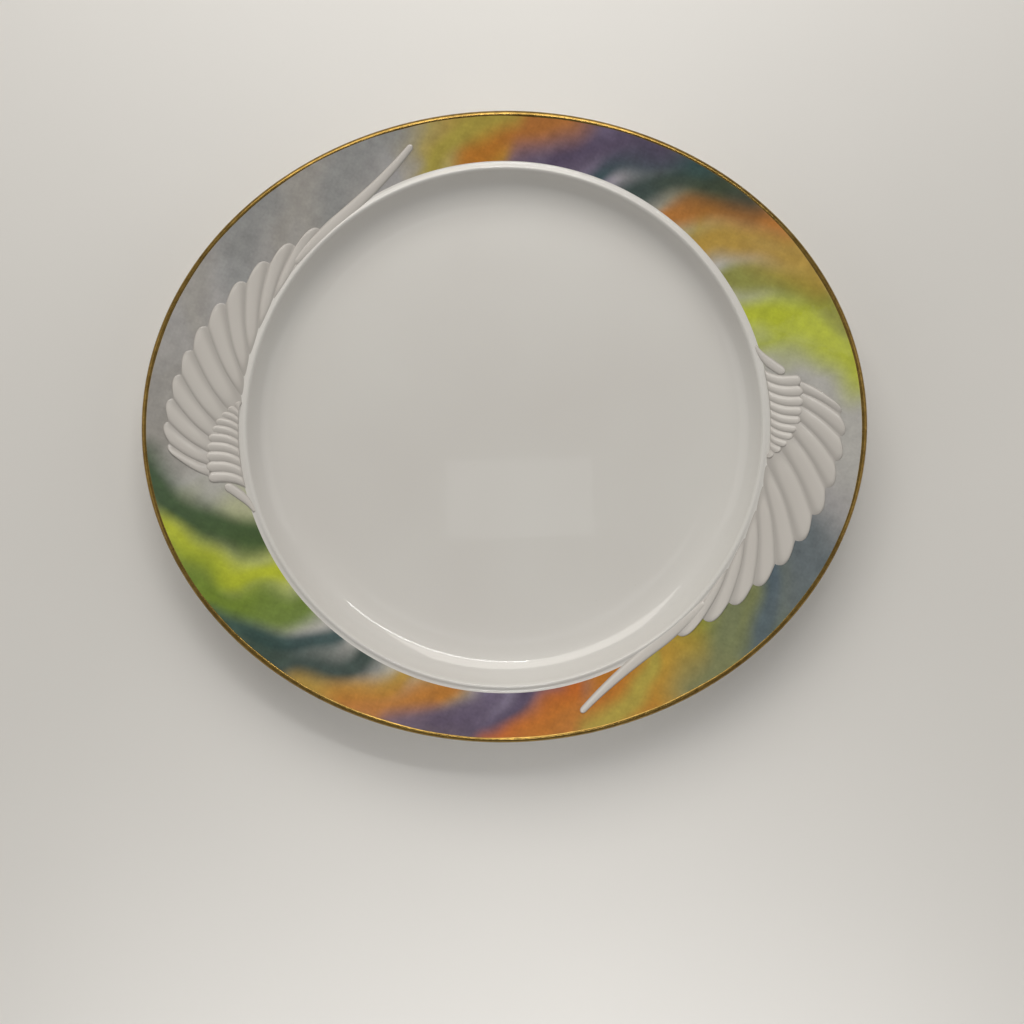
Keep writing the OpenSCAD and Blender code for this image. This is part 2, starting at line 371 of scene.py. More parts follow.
def make_print(name):
    """Fired colour under gloss: the painted layer, clouded like sponged pigment."""
    s = Shader(name, **{**GLAZE, "Specular_IOR_Level": 0.1})
    wash = s.attribute("wash")
    painted = wash.outputs["Alpha"]
    cloud = s.ramp(s.noise(8, 5, 0.6, 0.4), (0.3, (240, 240, 241)), (0.7, (255, 255, 255)))
    fine = s.ramp(s.noise(0.9, 4, 0.7), (0.25, (243, 243, 243)), (0.75, (255, 255, 255)))
    grain = s.mixed(1.0, cloud, fine, "MULTIPLY")
    inked = s.mixed(1.0, wash.outputs["Color"], grain, "MULTIPLY")
    s.colour(s.mixed(painted, porcelain_white(s), inked))
    s.roughness(s.ramp(s.noise(5, 4, 0.6), (0.3, 0.3), (0.7, 0.46)))
    glaze_bump(s)
    return s.material


def make_gold():
    s = Shader("gold_lustre", Metallic=1.0)
    brushed = s.noise(2.2, 5, 0.65, 0.4)
    worn = s.noise(14, 4, 0.6)
    tone = s.ramp(brushed, (0.3, GOLD_DARK), (0.7, GOLD_LIGHT))
    s.colour(s.mixed(s.ramp(worn, (0.45, 0.0), (0.75, 0.5)), tone, rgba(GOLD_WORN)))
    s.roughness(s.ramp(worn, (0.3, 0.16), (0.7, 0.3)))
    s.bump((brushed, 0.005), (s.noise(0.5, 3, 0.6), 0.002))
    return s.material


def make_foot():
    """Glazed flanks; the standing face is wiped bare and stays matte."""
    s = Shader("bisque_foot")
    split = s.nodes.new("ShaderNodeSeparateXYZ")
    s.link(s.place, split, "Vector")
    line = s.maths("MULTIPLY_ADD", s.noise(5, 3, 0.6), BARE_WAVE, BARE_LINE)
    bare = s.maths("LESS_THAN", split.outputs["Z"], line)
    clay = s.ramp(s.noise(0.7, 5, 0.7), (0.3, CLAY_DARK), (0.7, CLAY_LIGHT))
    stain = s.ramp(s.noise(9, 4, 0.6), (0.45, 0.0), (0.8, 0.5))
    s.colour(s.mixed(bare, porcelain_white(s), s.mixed(stain, clay, rgba(CLAY_STAIN))))
    s.roughness(s.mixed(bare, (FLANK_ROUGH,) * 3 + (1,), (CLAY_ROUGH,) * 3 + (1,)))
    s.bump((s.noise(0.35, 4, 0.7), 0.02))
    return s.material


# ---------------------------------------------------------------- the body
# Radii of the rows on the floor and under the base, and steps of the rows outside the bead.
FLOOR_ROWS = (4, 12, 24, 38, 50, 60, 68, 74)
BASE_ROWS = (80, 76, 70, 58, 44, 30, 16, 5)
FALL_ROWS = (0.08, 0.2, 0.35, 0.55, 0.8, 1.1, 1.5, 2.1, 3.0)


def circle_rows(profile, angles):
    """(r, z) rows that are the same all round."""
    r, z = np.asarray(profile, float).T
    xy = r[:, None, None] * unit(angles)[None]
    return np.concatenate([xy, np.broadcast_to(z[:, None, None], xy.shape[:2] + (1,))], -1)


def swept(r, z, angles):
    """Rows with their own radius and height at each angle; r and z are (rows, angles)."""
    xy = r[..., None] * unit(angles)[None]
    return np.concatenate([xy, np.broadcast_to(z, r.shape)[..., None]], -1)


def body_rows(angles):
    """The body's skin in rows, from the floor over the bead and the rim to the middle below."""
    floor = [[r, FLOOR_Z] for r in (*FLOOR_ROWS, FLOOR_R - 8)]
    wall = soft_curve([[FLOOR_R - 8, FLOOR_Z], [FLOOR_R, FLOOR_Z], [FLOOR_R + 9, FLOOR_Z],
                       [SHOULDER_R - 4.6, FLOOR_Z + 2], [SHOULDER_R - 2.6, FLOOR_Z + 7],
                       [SHOULDER_R - BEAD_R, SHOULDER_Z]], np.linspace(0, 1, 60)[1:])
    inner = circle_rows(floor + wall.tolist(), angles)
    # The bead, and the first millimetres of the rim where its glaze runs out.
    x = np.concatenate([np.linspace(-1, 1, 23) * BEAD_R * 0.97, BEAD_R + np.array(FALL_ROWS)])
    r = np.broadcast_to((SHOULDER_R + x)[:, None], (len(x), len(angles)))
    depth = (r - RIM_IN) / (rim_out(angles) - RIM_IN)
    base = np.where(r > RIM_IN, rim_z(depth), SHOULDER_Z)
    bead = (SHOULDER_Z + BEAD_SHOWN * (BEAD_R - x ** 2 / BEAD_R))[:, None]
    fall = BEAD_SHOWN * BEAD_R * np.exp(-(x / BEAD_FADE) ** 2)[:, None]
    z = np.where(x[:, None] < 0, bead, base + fall)
    beaded = swept(r, z, angles)
    depth = depth[-1] + (1 - depth[-1]) * np.linspace(0, 1, 34)[1:, None]
    top = swept(rim_r(angles, depth), rim_z(depth), angles)
    swing = np.radians(np.linspace(90, -90, 19)[1:])[:, None]
    out = rim_out(angles)
    edge = swept(out + EDGE_ROUND * np.cos(swing),
                 BODY_TOP - EDGE_ROUND + EDGE_ROUND * np.sin(swing), angles)
    # Under the rim the haunch curves back to the wall, and the wall to the foot.
    under_z = BODY_TOP - 2 * EDGE_ROUND
    lean = np.arctan2(under_z - HAUNCH_Z, out - HAUNCH_R)
    t = np.linspace(0, 1, 16)[1:, None]
    flat = swept(out + t * (HAUNCH_R - out), under_z + t * (HAUNCH_Z - under_z), angles)
    slope = math.radians(JOINT_SLOPE)
    hr = [HAUNCH_R, HAUNCH_R - 3 * np.cos(lean), SHOULDER_R + 3 * math.cos(slope), SHOULDER_R]
    hz = [HAUNCH_Z, HAUNCH_Z - 3 * np.sin(lean), JOINT_Z + 3 * math.sin(slope), JOINT_Z]
    t = np.linspace(0, 1, 15)[1:, None]
    weights = [(1 - t) ** 3, 3 * t * (1 - t) ** 2, 3 * t * t * (1 - t), t ** 3]
    full = np.ones_like(angles)[None]
    haunch = swept(sum(w * (q * full) for w, q in zip(weights, hr)),
                   sum(w * (q * full) for w, q in zip(weights, hz)), angles)
    apron = FOOT_R + FOOT_APRON
    joint = np.array([SHOULDER_R, JOINT_Z])
    under = bez([joint, joint - 5 * unit(JOINT_SLOPE), [apron + 11, BASE_Z], [apron, BASE_Z]],
                np.linspace(0, 1, 26)[1:])
    base_rows = [[r, BASE_Z] for r in BASE_ROWS]
    lower = circle_rows(under.tolist() + base_rows, angles)
    return np.concatenate([inner, beaded, top, edge, flat, haunch, lower])


def make_body(material):
    angles = np.arange(ROUND_STEPS) * 360 / ROUND_STEPS
    rows = body_rows(angles)
    n, m = rows.shape[:2]
    points = np.concatenate([rows.reshape(-1, 3), [[0, 0, FLOOR_Z], [0, 0, BASE_Z]]])
    faces = grid_quads(n, m, wrap_m=True).tolist()
    last = (n - 1) * m
    for j in range(m):
        j2 = (j + 1) % m
        faces.append([n * m, j, j2])
        faces.append([n * m + 1, last + j2, last + j])
    new_piece("porcelain_body", points, faces, material,
              ("well", "rim", "shoulder_bead"))


def ring_piece(name, sections, material, nodes):
    """sections is (angles, points round the section, 3); they run so that the skin faces out."""
    n, m = sections.shape[:2]
    faces = grid_quads(n, m, wrap_n=True, wrap_m=True).tolist()
    new_piece(name, sections.reshape(-1, 3), faces, material, nodes)


def make_foot_piece(material):
    """The ring's section: a rounded standing face, and flanks that flare into the base."""
    angles = np.arange(FOOT_STEPS) * 360 / FOOT_STEPS
    half, flare = FOOT_HALF, FOOT_FLARE
    side = bez([[half, 0.5], [half + 0.3, 1.4], [half + flare - 0.8, BASE_Z - 0.7],
                [half + flare + 0.5, BASE_Z - 0.02]], np.linspace(0, 1, 14))
    nose = bez([[half - 0.55, 0], [half - 0.25, 0], [half - 0.02, 0.2], [half, 0.5]],
               np.linspace(0, 1, 7))[:-1]
    outer = np.concatenate([[[0.2, 0]], nose, side, [[half + flare + 0.9, BASE_Z + 0.25]]])
    inner = outer[::-1] * [-1, 1]
    loop = np.concatenate([outer, inner])[::-1]
    r = np.tile(FOOT_R + loop[:, 0], (FOOT_STEPS, 1))
    z = np.tile(loop[:, 1], (FOOT_STEPS, 1))
    ring_piece("foot", closed_rings(r, z, angles), material, ("foot_ring",))


# Where the gold starts below the edge, in degrees, and how deep it sits; its wavers are
# (size, waves round the plate, shift). Then its rows on the rim, in mm from the rounded edge.
GOLD_BELOW, GOLD_SINK = -58, 0.08
GOLD_WAVER = ((0.09, 5, 0.7), (0.06, 13, 2.1), (0.03, 31, 0))
GOLD_INWARD = (0.132, 0.275, 0.418, 0.506, 0.55, 0.55)


def make_gold_piece(material):
    """A brushed line: full over the edge's crest, thinned to nothing at both sides."""
    angles = np.arange(2 * ROUND_STEPS) * 180 / ROUND_STEPS
    turn = np.radians(angles)
    waver = sum(size * np.sin(count * turn + shift) for size, count, shift in GOLD_WAVER)
    out = rim_out(angles)
    f = np.linspace(0, 1, 20)[None]
    s = np.radians(GOLD_BELOW + (90 - GOLD_BELOW) * f + 40 * waver[:, None] * (1 - f))
    thick = GOLD_T * rounded(f * 2.2)
    arc_r = out[:, None] + (EDGE_ROUND + thick) * np.cos(s)
    arc_z = BODY_TOP - EDGE_ROUND + (EDGE_ROUND + thick) * np.sin(s)
    inward = np.array(GOLD_INWARD)[None] * (1 + waver / 0.35)[:, None]
    skin = np.array([1, 0.97, 0.8, 0.5, 0.1, -0.4])[None] * GOLD_T
    flat_r = out[:, None] - inward
    flat_z = rim_z((flat_r - RIM_IN) / (out[:, None] - RIM_IN)) + skin
    back = np.radians(np.linspace(90, GOLD_BELOW, 9))[None]
    inner_r = out[:, None] + (EDGE_ROUND - GOLD_SINK) * np.cos(back)
    inner_z = BODY_TOP - EDGE_ROUND + (EDGE_ROUND - GOLD_SINK) * np.sin(back)
    inner_z = np.broadcast_to(inner_z, inner_r.shape)
    r = np.concatenate([arc_r, flat_r, inner_r], 1)
    z = np.minimum(np.concatenate([arc_z, flat_z, inner_z], 1), HEIGHT)
    ring_piece("gold_edge", closed_rings(r, z, angles), material, ("gold_band",))


# ---------------------------------------------------------------- the relief wings
# Height in the grooves between feathers, as a part of the full height.
FEATHER_GROOVE, COVERT_GROOVE = 0.16, 0.4


def fanned(a, side):
    """The right wing (side 1) is turned a little further, most of all at its narrow end."""
    return a - side * RIGHT_TURN * (0.25 + 0.75 * smooth((180 - a) / 27))


def plan_at(a, depth, side):
    """Both wings are laid out on the left; turned() takes the right one to its place."""
    return on_plan(np.asarray(fanned(a, side), float), np.asarray(depth, float))


def root_of(i, side):
    """Where groove i between the long feathers starts, near the bead."""
    depth = max(-0.02, 0.38 - 0.0092 * i * i - 0.0004 * i ** 3)
    return plan_at(188.5 - 2.3 * i - 19.2 * (i / 11) ** 4, depth, side)


def notch_of(i, side):
    """Where groove i ends, between two tips."""
    if i == 0:
        return plan_at(184.2, 0.7, side)
    k = i - 1
    depth = 0.785 - 0.0175 * k - 0.0054 * k * k - (0.03 if i == 1 else 0)
    return plan_at(181.7 - 3.6 * k - 0.14 * k * k, depth, side)


def feather_curves(side):
    """The grooves between the long feathers, and each feather's rounded tip."""
    roots = [root_of(i, side) for i in range(FEATHERS + 1)]
    notches = [notch_of(i, side) for i in range(FEATHERS + 1)]
    grooves = [arc_between(root, notch, 11, -9, 0.4) for root, notch in zip(roots, notches)]
    tips = [arc_between(notches[i], notches[i + 1], 25, -75, 0.45) for i in range(FEATHERS)]
    return grooves, tips


def covert_curves(side):
    """The same for the short feathers over the roots of the long ones."""
    grooves = []
    for i in range(COVERTS + 1):
        j = i - 0.5
        a = 173.9 + 1.1 * j + 0.06 * j * j
        inner = plan_at(a + 0.9 + 0.15 * j, 0.035, side)
        outer = plan_at(a, 0.365 - 0.005 * (j - 8) ** 2, side)
        grooves.append(arc_between(inner, outer, -18, 14, 0.4))
    tips = [arc_between(grooves[i][3], grooves[i + 1][3], -60, 65, 0.5) for i in range(COVERTS)]
    return grooves, tips


def fan_plan(g0, g1, tip, u, v):
    """Points between two grooves, swelling out to the rounded tip as v nears 1."""
    a, b = bez(g0, v)[None], bez(g1, v)[None]
    u = u[:, None, None]
    straight = (1 - u) * np.asarray(g0[3]) + u * np.asarray(g1[3])
    swell = bez(tip, u[:, 0, 0])[:, None] - straight
    return (1 - u) * a + u * b + v[None, :, None] ** 4 * swell


def turned(points, side):
    """Half a turn for the right wing."""
    return points * [-1, -1, 1] if side else points


def fan_grid(grooves, tips, u, v, shape):
    """The whole fan's plan and its height, feather by feather."""
    plan, height = [], []
    count = len(tips)
    for i in range(count):
        columns = np.append(u, 1.0) if i == count - 1 else u
        plan.append(fan_plan(grooves[i], grooves[i + 1], tips[i], columns, v))
        height.append(shape(i, count, columns[:, None], v[None]))
    return np.concatenate(plan), np.concatenate(height)


def feather_shape(i, count, u, v):
    """Height of long feather i: u runs across it and v from its root to its tip."""
    h = FEATHER_GROOVE + (1 - FEATHER_GROOVE) * np.sin(np.pi * u ** 0.78)
    h = h * (0.62 + 0.38 * smooth(v, 0, 0.4))
    h = h * rounded((1 - v) / 0.07)
    free_root = smooth(i, 4, 7)
    h = h * (1 - free_root * (1 - smooth(v, -0.03, 0.22)))
    if i == 0:
        h = h * rounded(u / 0.14)
    if i == count - 1:
        h = h * rounded((1 - u) / 0.14)
    return h * RELIEF_H


def covert_shape(i, count, u, v):
    """The same for short feather i."""
    h = COVERT_GROOVE + (1 - COVERT_GROOVE) * np.sin(np.pi * u ** 0.85)
    h = h * rounded((1 - v) / 0.09) * rounded(v / 0.06 + 0.1)
    if i == 0:
        h = h * rounded(u / 0.3)
    if i == count - 1:
        h = h * rounded((1 - u) / 0.3)
    return h * COVERT_H


def shade_grooves(height, full):
    """Painted shade: 1 in the low places, 0 on the crests."""
    low = 1 - smooth(height / full, 0.25, 0.85)
    return np.repeat(low.reshape(-1, 1), 4, 1)


def relief_piece(name, grids, material, nodes):
    """One piece of several closed pads. grids holds (plan, height, full height, side)."""
    points, faces, groove_shadings, start = [], [], [], 0
    for plan, height, full, side in grids:
        top = turned(on_rim(plan, height), side)
        bottom = turned(on_rim(plan, np.full(height.shape, -SINK)), side)
        p, f = pad_mesh(top, bottom)
        faces += [[k + start for k in q] for q in f]
        points.append(p)
        # The pad's bottom points come after its top ones, and are all low, so they take the full
        # painted shade.
        groove_shadings.append(np.concatenate([shade_grooves(height, full), np.ones((height.size, 4))]))
        start += len(p)
    new_piece(name, np.concatenate(points), faces, material, nodes,
              {"groove_shading": np.concatenate(groove_shadings)})


def blade_grid(handles, half_w, bloom, taper, high, side):
    """A single feather along a curve: it blooms from its root, tapers and has a round tip."""
    spine = [plan_at(a, d, side) for a, d in handles]
    run = bez(spine, np.linspace(0, 1, 40))
    tip = half_w * (1 - taper) / np.hypot(*(run[1:] - run[:-1]).T).sum()
    s = np.concatenate([np.linspace(0, 0.06, 7), np.linspace(0.06, 1 - tip, 80)[1:],
                        1 - tip * (1 - np.linspace(0, 1, 14)[1:]) ** 1.8])
    ahead = bez(spine, np.minimum(1, s + 0.01)) - bez(spine, np.maximum(0, s - 0.01))
    normal = np.stack([-ahead[:, 1], ahead[:, 0]], -1) / np.hypot(*ahead.T)[:, None]
    w = half_w * np.minimum(1, 0.35 + bloom * s) * (1 - taper * s)
    w = w * np.maximum(rounded((1 - s) / tip), 0.06)
    c = np.sin(np.radians(np.linspace(-90, 90, 25)))
    plan = bez(spine, s)[:, None] + (w[:, None] * c[None])[..., None] * normal[:, None]
    across = np.clip(1 - np.abs(c) ** 2.2, 0, 1) ** 0.6
    along = rounded(s / 0.05 + 0.05) * rounded(w / ((1 - taper) * half_w))
    return plan, high * along[:, None] * across[None], high, side


# Where the mesh has its columns across a feather (U) and its rows along it (V).
FEATHER_U = np.array([0, 0.015, 0.035, 0.06, 0.09, 0.13, 0.18, 0.25, 0.33, 0.42, 0.52, 0.62,
                      0.72, 0.81, 0.89, 0.95])
FEATHER_V = np.concatenate([np.linspace(0, 0.06, 7), np.linspace(0.06, 0.92, 42)[1:],
                            1 - 0.08 * (1 - np.linspace(0, 1, 15)[1:]) ** 1.8])
COVERT_U = np.linspace(0, 1, 15)[:-1]
COVERT_V = np.concatenate([np.linspace(0, 0.08, 6), np.linspace(0.08, 0.88, 24)[1:],
                           1 - 0.12 * (1 - np.linspace(0, 1, 11)[1:]) ** 1.8])
# Single feathers: four (heading, depth) handles, half width in mm, bloom, taper and height.
# They are the plume, the strand beside it, and the heel feather at the wing's other end.
PLUME = ([[141, 0.045], [133.5, 0.07], [119, 0.06], [107, 0.64]], 3.7, 1.6, 0.66, RELIEF_H)
STRAND = ([[147, 0.03], [141, 0.035], [134, 0.03], [126, 0.02]], 0.8, 3, 0.66, STRAND_H)
HEEL = ([[197.6, 0.01], [195.2, 0.03], [192.8, 0.11], [190.6, 0.24]], 1.9, 1.1, 0, HEEL_H)


def make_wing(prefix, side, material):
    fan = fan_grid(*feather_curves(side), FEATHER_U, FEATHER_V, feather_shape)
    relief_piece(prefix + "_wing_feathers", [(*fan, RELIEF_H, side)],
                 material, (prefix + "_feathers",))
    fan = fan_grid(*covert_curves(side), COVERT_U, COVERT_V, covert_shape)
    relief_piece(prefix + "_wing_coverts", [(*fan, COVERT_H, side), blade_grid(*HEEL, side)],
                 material, (prefix + "_coverts",))
    relief_piece(prefix + "_wing_plume", [blade_grid(*PLUME, side), blade_grid(*STRAND, side)],
                 material, (prefix + "_plume",))


# ---------------------------------------------------------------- the fired colour
class Canvas:
    """Colour on points of the rim in plan: a ground that fills them, and airbrushed bands on it."""

    def __init__(self, plan):
        place = plan.reshape(-1, 2)
        self.p = place + np.stack([clouds(place, *w) for w in EDGE_WAVER], -1)
        self.ground = place + np.stack([clouds(place, *w) for w in GROUND_WAVER], -1)
        self.grain = sum(clouds(place, *w) for w in SPONGING)

    def sweep(self, *stops):
        """A ground that changes with the angle: stops are (angle, colour), in rising order."""
        angles = [a for a, _ in stops]
        tones = np.array([printed(colour) for _, colour in stops])
        at = heading(self.ground)
        at = at + 360 * ((at < angles[0] - 5) - 1.0 * (at > angles[-1] + 5))
        self.colour = np.stack([np.interp(at, angles, tones[:, c]) for c in range(3)], -1)

    def stroke(self, colour, q):
        """q holds (x, y, half width) along a smooth line."""
        t = np.linspace(0, len(q) - 1, 10 * (len(q) - 1) + 1)
        k = np.minimum(t.astype(int), len(q) - 2)
        line = through(q[np.maximum(k - 1, 0)], q[k], q[k + 1],
                       q[np.minimum(k + 2, len(q) - 1)], (t - k)[:, None])
        gap, wide = nearest(self.p, line[:-1], line[1:])
        fade = 1 - smooth(0.5 + (gap / wide - 1) / (2 * BAND_SOFT))
        self.colour += (printed(colour) - self.colour) * BAND_STRENGTH * fade[:, None]

    def bands(self, first, step, colours):
        """Slanting soft bands at even steps round the rim, broad and narrow by turns."""
        depth = np.linspace(-0.1, 1.1, 6)
        for k, colour in enumerate(colours):
            bend = BAND_LEAN * depth + BAND_BEND * np.sin(np.pi * depth)
            width = (BAND_NARROW if k % 2 else BAND_BROAD) * (0.75 + 0.5 * depth)
            line = np.concatenate([on_plan(first + k * step + bend, depth), width[:, None]], 1)
            self.stroke(colour, line)

    def sponged(self):
        """The colours, opaque: the denser the pigment, the more its strength varies."""
        dense = 1 - self.colour.mean(1, keepdims=True)
        tones = np.clip(self.colour * (1 + self.grain[:, None] * dense), 0, 1)
        return np.concatenate([tones, np.ones((len(tones), 1))], 1)


def nearest(p, start, finish):
    """Distance to the nearest piece of a line, and the line's third value there."""
    best, value = np.full(len(p), np.inf), np.ones(len(p))
    for a, b in zip(start, finish):
        d = b[:2] - a[:2]
        rel = p - a[:2]
        s = np.clip(rel @ d / (d @ d), 0, 1)
        gap = np.hypot(*(rel - s[:, None] * d).T)
        closer = gap < best
        best = np.where(closer, gap, best)
        value = np.where(closer, a[2] + s * (b[2] - a[2]), value)
    return best, value


def clouds(p, amount, finest, coarsest, seed):
    """A cloudy value of about that amount either way, with features between two sizes in mm."""
    rng = np.random.default_rng(seed)
    total = np.zeros(len(p))
    for size in np.geomspace(finest, coarsest, CLOUD_WAVES):
        turn, shift = rng.uniform(0, 2 * np.pi, 2)
        total += np.sin(2 * np.pi / size * (p @ [np.cos(turn), np.sin(turn)]) + shift)
    return amount * total / math.sqrt(CLOUD_WAVES / 2)


def through(a, b, c, d, f):
    """A smooth line from b to c, where a and d are the points before and after."""
    return 0.5 * (2 * b + (c - a) * f + (2 * a - 5 * b + 4 * c - d) * f ** 2
                  + (3 * b - a - 3 * c + d) * f ** 3)


def printed(colour):
    """The pigment that shows this colour, 0 to 255, under the soft studio light."""
    lit = np.minimum(PRINT_GAIN * np.asarray(colour, float), PRINT_WHITE)
    return np.maximum(linear(lit) - GLOSS_VEIL, PRINT_BLACK)


# PRINT_GAIN makes up for the light's strength and tint, and GLOSS_VEIL for what the gloss adds.
# PRINT_WHITE, 0 to 255, and PRINT_BLACK, linear, are the limits.
PRINT_GAIN = np.array([1.22, 1.245, 1.28])
GLOSS_VEIL = 0.012
PRINT_WHITE, PRINT_BLACK = 246, 0.003
# Clouds are (amount, finest size, coarsest size, seed). A waver has one for x and one for y.
CLOUD_WAVES = 26
EDGE_WAVER = ((1.1, 16, 48, 11), (1.1, 16, 48, 12))
GROUND_WAVER = ((2.0, 12, 36, 21), (2.0, 12, 36, 22))
SPONGING = ((0.035, 1.2, 3, 31), (0.05, 4, 12, 32))
# A band's slant and bow in degrees, its half widths in mm, and its softness and strength.
BAND_LEAN, BAND_BEND = -15, 3
BAND_BROAD, BAND_NARROW = 7.5, 4.5
BAND_SOFT, BAND_STRENGTH = 0.8, 0.9
GREY, WARM_GREY, COOL_GREY = (154, 149, 145), (148, 142, 134), (135, 133, 129)
PALE, SLATE, STORM = (169, 164, 156), (98, 104, 105), (80, 92, 100)
PLUM, VIOLET, LILAC = (80, 68, 86), (98, 86, 104), (136, 126, 140)
FIRE, ORANGE, AMBER, SAND = (178, 92, 16), (170, 106, 40), (170, 134, 54), (160, 142, 86)
OLIVE, YELLOW, MOSS = (134, 132, 56), (158, 142, 64), (112, 116, 84)
SPRUCE, TEAL = (34, 56, 50), (46, 72, 72)
LEAF, GRASS, LIME, CHARTREUSE = (44, 72, 36), (98, 118, 38), (172, 176, 44), (166, 170, 84)


def paint_upper(c):
    """Grey over the left wing, then the colours in turn from yellow through violet to lime."""
    c.sweep((-8, PALE), (8, PALE), (18, CHARTREUSE), (34, PALE), (46, SAND), (58, PALE),
            (66, LILAC), (84, VIOLET), (92, AMBER), (104, SAND), (112, GREY), (130, WARM_GREY),
            (150, GREY), (179, WARM_GREY))
    c.bands(24, 9, (LIME, OLIVE, AMBER, ORANGE, SPRUCE, TEAL, PLUM, VIOLET, ORANGE, YELLOW))
    c.bands(128, 13, (COOL_GREY, WARM_GREY, COOL_GREY, WARM_GREY))


def paint_lower(c):
    """Greens by the left wing, then warm colours and violet, and slate by the right wing."""
    c.sweep((-178, WARM_GREY), (-172, PALE), (-150, CHARTREUSE), (-134, PALE), (-118, PALE),
            (-106, SAND), (-94, LILAC), (-82, VIOLET), (-70, ORANGE), (-56, AMBER), (-44, OLIVE),
            (-34, MOSS), (-24, SLATE), (-14, GREY), (-8, PALE), (-2, PALE))
    c.bands(-157, 9, (LEAF, LIME, GRASS, TEAL, SPRUCE, AMBER,
                      ORANGE, VIOLET, PLUM, FIRE, ORANGE, YELLOW))
    c.bands(-37, 11, (MOSS, STORM, SLATE))


def wing_outline(side):
    """Points in plan along the tips, the first feather's free side and the heel feather."""
    grooves, tips = feather_curves(side)
    heel = [plan_at(a, d, side) for a, d in HEEL[0]]
    t = np.linspace(0, 1, 25)
    line = np.concatenate([bez(curve, t) for curve in (*tips, grooves[0], heel)])
    return -line if side else line


# The films: first and last angle, slant and step in degrees, and heights over the rim in mm.
UPPER_SPAN, LOWER_SPAN = (182, -2.5), (-2.5, -178)
FILM_SLANT, FILM_STEP = 3.5, 0.21
FILM_TOP, FILM_LOW, FILM_BOTTOM = 0.04, -0.02, -0.09
# Where they start, as a depth: by the bead, and how far under the wings' edge, which is
# the lowest point of the outline within so many degrees. They end this far under the gold, in mm.
FILM_INNER, FILM_UNDER, FILM_REACH = 0.035, 0.06, 2.2
UNDER_GOLD = 0.25


def film_start(a):
    """Depth where the colour starts: a little under the wings' edge, or by the bead."""
    start = np.full(len(a), FILM_INNER)
    for side in (0, 1):
        line = wing_outline(side)
        depth = depth_of(line)
        middle = heading(line.mean(0))
        h = (heading(line) - middle + 180) % 360 - 180
        at = (a - middle + 180) % 360 - 180
        bins = np.arange(-60, 60, 0.5)
        low = np.zeros(len(bins))
        for k, b in enumerate(bins):
            near = np.abs(h - b) < FILM_REACH
            if near.any():
                low[k] = depth[near].min()
        start = np.maximum(start, np.interp(at, bins, low, 0, 0) - FILM_UNDER)
    return start


def make_print_piece(name, span, paint, material, node):
    """A thin film on the rim from one angle to another: a fine top, and a coarse side below."""
    a = np.linspace(*span, int(abs(span[1] - span[0]) / FILM_STEP))
    # A close row by each end keeps the shading level up to the line where the two films meet.
    a = np.concatenate([a[:1], a[:1] - 0.01, a[1:-1], a[-1:] + 0.01, a[-1:]])
    start = film_start(a)
    level = np.concatenate([[0, 0.004], np.linspace(0.012, 0.985, 66), [0.994, 1]])
    end = 1 - UNDER_GOLD / (rim_out(a) - RIM_IN)
    depth = start[:, None] + (end - start)[:, None] * level[None]
    plan = on_plan(a[:, None] - FILM_SLANT * depth, depth)
    edge = rounded(np.minimum(level, 1 - level) / 0.012)[None]
    top = on_rim(plan, FILM_LOW + (FILM_TOP - FILM_LOW) * edge)
    canvas = Canvas(plan)
    paint(canvas)
    keep = np.linspace(0, len(level) - 1, 9).astype(int)
    bottom = on_rim(plan[:, keep], np.full((len(a), len(keep)), FILM_BOTTOM))
    n, m, b = len(a), len(level), len(keep)
    low = n * m
    points = np.concatenate([top.reshape(-1, 3), bottom.reshape(-1, 3)])
    faces = grid_quads(n, m).tolist() + (grid_quads(n, b)[:, ::-1] + low).tolist()
    for i in range(n - 1):
        faces.append([(i + 1) * m, i * m, low + i * b, low + (i + 1) * b])
        faces.append([i * m + m - 1, (i + 1) * m + m - 1, low + (i + 1) * b + b - 1,
                      low + i * b + b - 1])
    for i, flip in ((0, False), (n - 1, True)):
        cap = [i * m + j for j in range(m)] + [low + i * b + j for j in range(b - 1, -1, -1)]
        faces.append(cap[::-1] if flip else cap)
    if not faces_up(top):
        faces = [f[::-1] for f in faces]
    colours = np.concatenate([canvas.sponged(), np.zeros((n * b, 4))])
    new_piece(name, points, faces, material, (node,), {"wash": colours})


# ---------------------------------------------------------------- build
glazed, relief = make_glazed(), make_relief()
make_body(glazed)
make_foot_piece(make_foot())
make_gold_piece(make_gold())
make_wing("left", 0, relief)
make_wing("right", 1, relief)
make_print_piece("upper_colour", UPPER_SPAN, paint_upper, make_print("upper_colours"),
                 "upper_transfer")
make_print_piece("lower_colour", LOWER_SPAN, paint_lower, make_print("lower_colours"),
                 "lower_transfer")

# ---------------------------------------------------------------- floor, light and camera
# Half the floor's side in metres, and the hair's breadth in mm that keeps it off the foot.
FLOOR_HALF, FLOOR_BELOW = 25.0, 0.05
FLOOR_DARK, FLOOR_LIGHT = (237, 235, 232), (241, 239, 236)
ground = Shader("studio_floor", Roughness=0.9, Specular_IOR_Level=0.1)
ground.colour(ground.ramp(ground.noise(240, 3, 0.5), (0.3, FLOOR_DARK), (0.7, FLOOR_LIGHT)))
floor_mesh = bpy.data.meshes.new("studio_floor")
floor_mesh.from_pydata([(x * FLOOR_HALF, y * FLOOR_HALF, cad_low.z - FLOOR_BELOW * MM)
                        for x, y in ((-1, -1), (1, -1), (1, 1), (-1, 1))], [], [(0, 1, 2, 3)])
floor_mesh.materials.append(ground.material)
floor = bpy.data.objects.new("studio_floor", floor_mesh)
bpy.context.scene.collection.objects.link(floor)


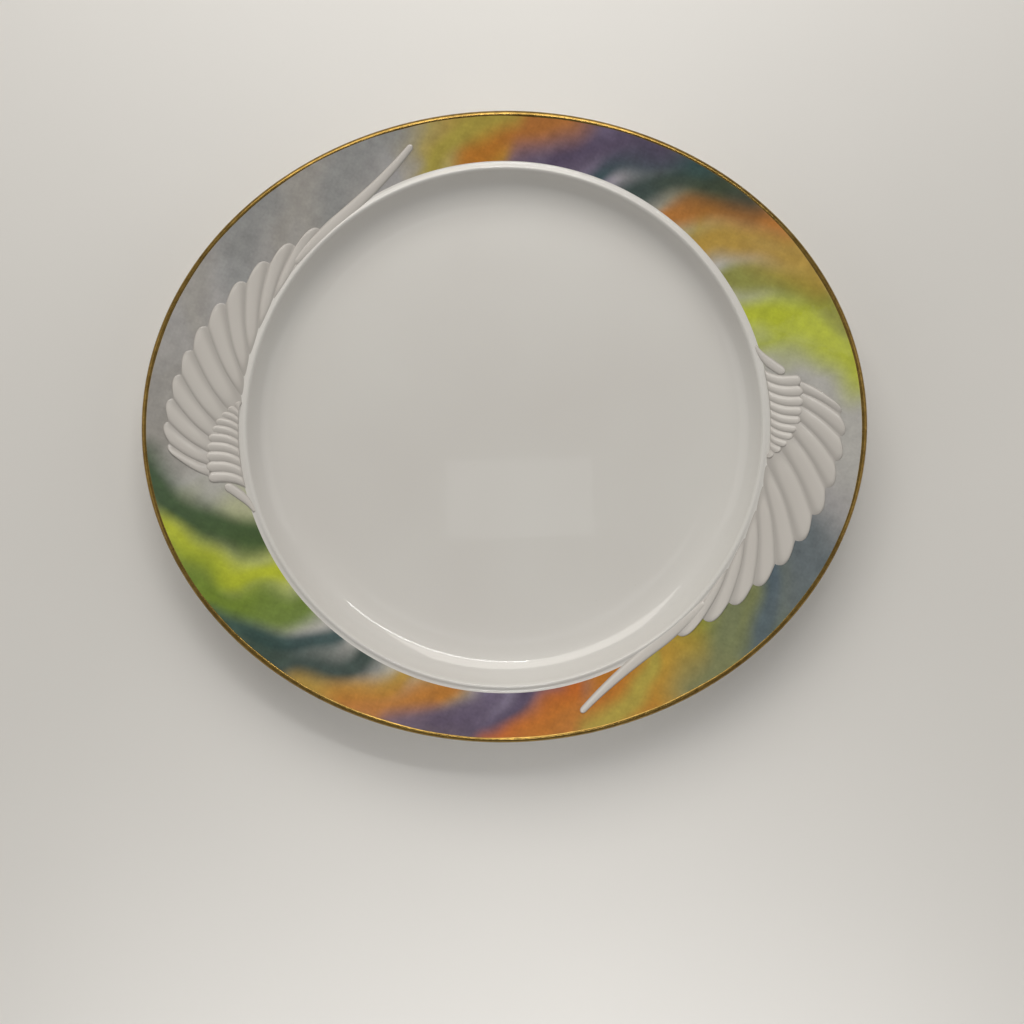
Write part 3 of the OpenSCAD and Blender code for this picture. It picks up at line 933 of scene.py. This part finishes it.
def softbox(name, at, size, power, tint=(1, 1, 1), level=False):
    """A rectangular lamp that faces the plate, or straight down if it is level."""
    lamp = bpy.data.lights.new(name, "AREA")
    lamp.shape, lamp.size, lamp.size_y = "RECTANGLE", *size
    lamp.energy, lamp.color = power, tint
    holder = bpy.data.objects.new(name, lamp)
    holder.location = at
    if not level:
        aim = Vector((0, 0, cad_high.z)) - Vector(at)
        holder.rotation_euler = aim.to_track_quat("-Z", "Y").to_euler()
    bpy.context.scene.collection.objects.link(holder)


def glow(name, at, power, cone):
    """A soft spot that shines straight down, on the floor before or behind the plate."""
    lamp = bpy.data.lights.new(name, "SPOT")
    lamp.energy, lamp.spot_size, lamp.spot_blend = power, math.radians(cone), 1.0
    lamp.shadow_soft_size = 0.1
    holder = bpy.data.objects.new(name, lamp)
    holder.location = at
    bpy.context.scene.collection.objects.link(holder)


softbox("key", (-0.25, 1.87, 1.68), (2.2, 1.4), 28, (1, 0.965, 0.9))
for name, x in (("left_fill", -1.7), ("right_fill", 1.7)):
    softbox(name, (x, 0.1, 1.1), (1.5, 1.5), 3.0, (1, 0.97, 0.92))
softbox("key_edge", (0.4, 1.27, 2.14), (1.1, 0.08), 5.0)
softbox("window", (0.01, -0.019, 1.25), (0.154, 0.085), 0.02, level=True)
glow("backdrop_glow", (0, 0.36, 0.9), 10, 42)
glow("front_glow", (0, -0.44, 0.9), 15, 46)
world = bpy.data.worlds.new("studio")
world.use_nodes = True
sky = world.node_tree.nodes["Background"]
sky.inputs["Color"].default_value = (1.0, 0.98, 0.93, 1)
sky.inputs["Strength"].default_value = 0.26
bpy.context.scene.world = world
bpy.context.scene.view_settings.view_transform = "Standard"

# The camera's height over the plate and the width it sees there, in metres; its film in mm.
CAMERA_AWAY, FRAME_WIDE, SENSOR = 0.75, 0.4028, 36
# Its place beside the plate's middle in metres, and its turn in degrees.
CAMERA_X, CAMERA_Y, CAMERA_TURN = 0.0023, -0.0337, -1.18
camera_data = bpy.data.cameras.new("camera")
camera_data.sensor_width = SENSOR
camera_data.lens = SENSOR * CAMERA_AWAY / FRAME_WIDE
camera_data.clip_start = 0.05
camera = bpy.data.objects.new("camera", camera_data)
camera.location = (CAMERA_X, CAMERA_Y, cad_high.z + CAMERA_AWAY)
camera.rotation_euler = (0, 0, math.radians(CAMERA_TURN))
bpy.context.scene.collection.objects.link(camera)
bpy.context.scene.camera = camera
